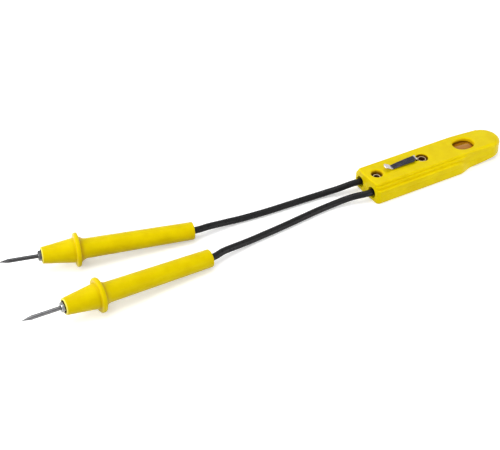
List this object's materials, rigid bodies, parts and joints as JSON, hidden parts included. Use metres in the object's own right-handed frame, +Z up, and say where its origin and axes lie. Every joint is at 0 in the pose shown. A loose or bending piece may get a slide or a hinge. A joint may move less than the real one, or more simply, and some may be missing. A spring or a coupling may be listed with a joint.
{
  "type": "voltage tester",
  "caption": "Pocket voltage tester: flat housing with indicator window and pocket clip, wired by short leads to two guarded needle probes.",
  "frame": {"origin": "centre of the housing's flat underside, on the surface that the tester lies on", "axes": "+X along the housing from the cable end to the round tip, +Z up out of the side with the pocket clip"},
  "size_m": [0.2798, 0.0514, 0.0168],
  "materials": {
    "yellow_plastic": "satin moulded plastic",
    "lead_rubber": "black satin jacket",
    "clip_steel": "blued spring steel, polished by wear",
    "screw_steel": "zinc-plated steel",
    "pin_steel": "nickel-plated steel",
    "tinned_copper": "tinned copper",
    "amber_lens": "clear amber plastic",
    "lamp_glass": "clear glass",
    "resistor_body": "matt lacquer"
  },
  "bodies": {
    "root": {"rear_shell": "yellow_plastic", "front_shell": "yellow_plastic", "window_lens": "amber_lens", "neon_lamp": "lamp_glass", "far_lamp_wire": "tinned_copper", "near_lamp_wire": "tinned_copper", "resistor": "resistor_body", "resistor_wire": "tinned_copper", "far_splice": "tinned_copper", "near_splice": "tinned_copper", "far_conductor": "tinned_copper", "near_conductor": "tinned_copper", "shell_screw": "screw_steel", "clip_screw": "screw_steel", "pocket_clip": "clip_steel", "far_lead": "lead_rubber", "near_lead": "lead_rubber", "far_probe_handle": "yellow_plastic", "near_probe_handle": "yellow_plastic", "far_probe_pin": "pin_steel", "near_probe_pin": "pin_steel", "far_pin_collar": "pin_steel", "near_pin_collar": "pin_steel", "far_crimp_barrel": "tinned_copper", "near_crimp_barrel": "tinned_copper", "far_probe_conductor": "tinned_copper", "near_probe_conductor": "tinned_copper"}
  },
  "joints": []
}
